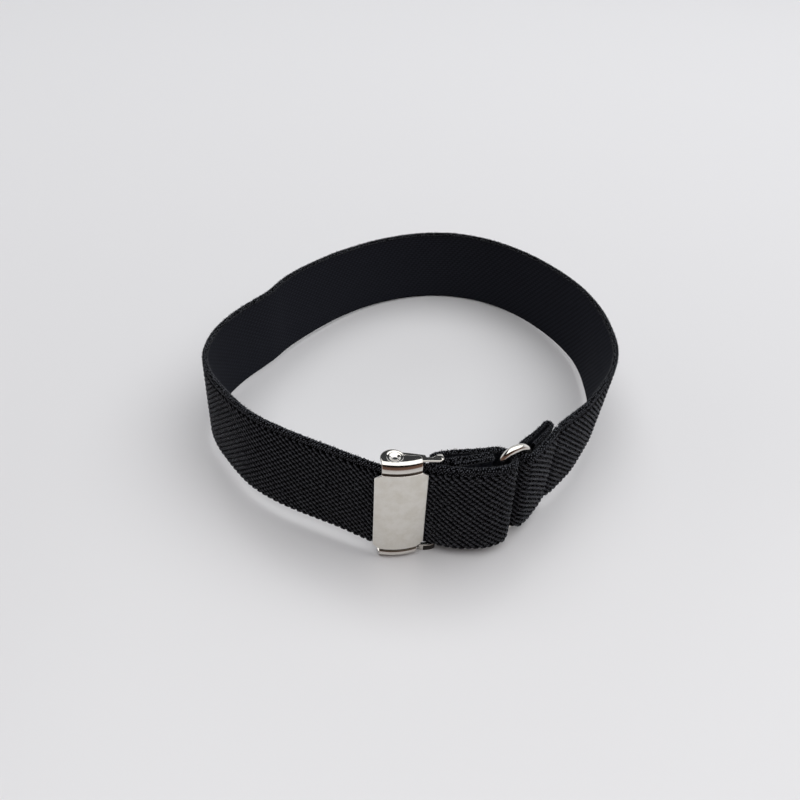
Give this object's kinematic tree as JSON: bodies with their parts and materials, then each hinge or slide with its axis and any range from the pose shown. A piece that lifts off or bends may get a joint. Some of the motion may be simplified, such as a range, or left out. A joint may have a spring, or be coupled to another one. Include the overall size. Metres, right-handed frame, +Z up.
{
  "type": "shirt sleeve holder",
  "caption": "Adjustable elastic arm band that holds up a shirt sleeve: a woven strap turned round a wire ring and closed by a small lever clasp with a bowed metal cover.",
  "frame": {"origin": "under the middle of the bounding box, on the surface the band stands on", "axes": "+X right, +Y from the clasp towards the back of the band, +Z up across the strap's width"},
  "size_m": [0.1128, 0.122, 0.0306],
  "materials": {
    "black_webbing": "twill-woven elastic, matt",
    "polished_wire": "polished nickel plate on round wire",
    "satin_nickel": "satin nickel plate",
    "polished_nickel": "polished nickel plate on sheet steel"
  },
  "bodies": {
    "root": {"elastic_band": "black_webbing", "adjuster_ring": "polished_wire", "clasp_plate": "satin_nickel", "clasp_lever": "polished_nickel"}
  },
  "joints": []
}
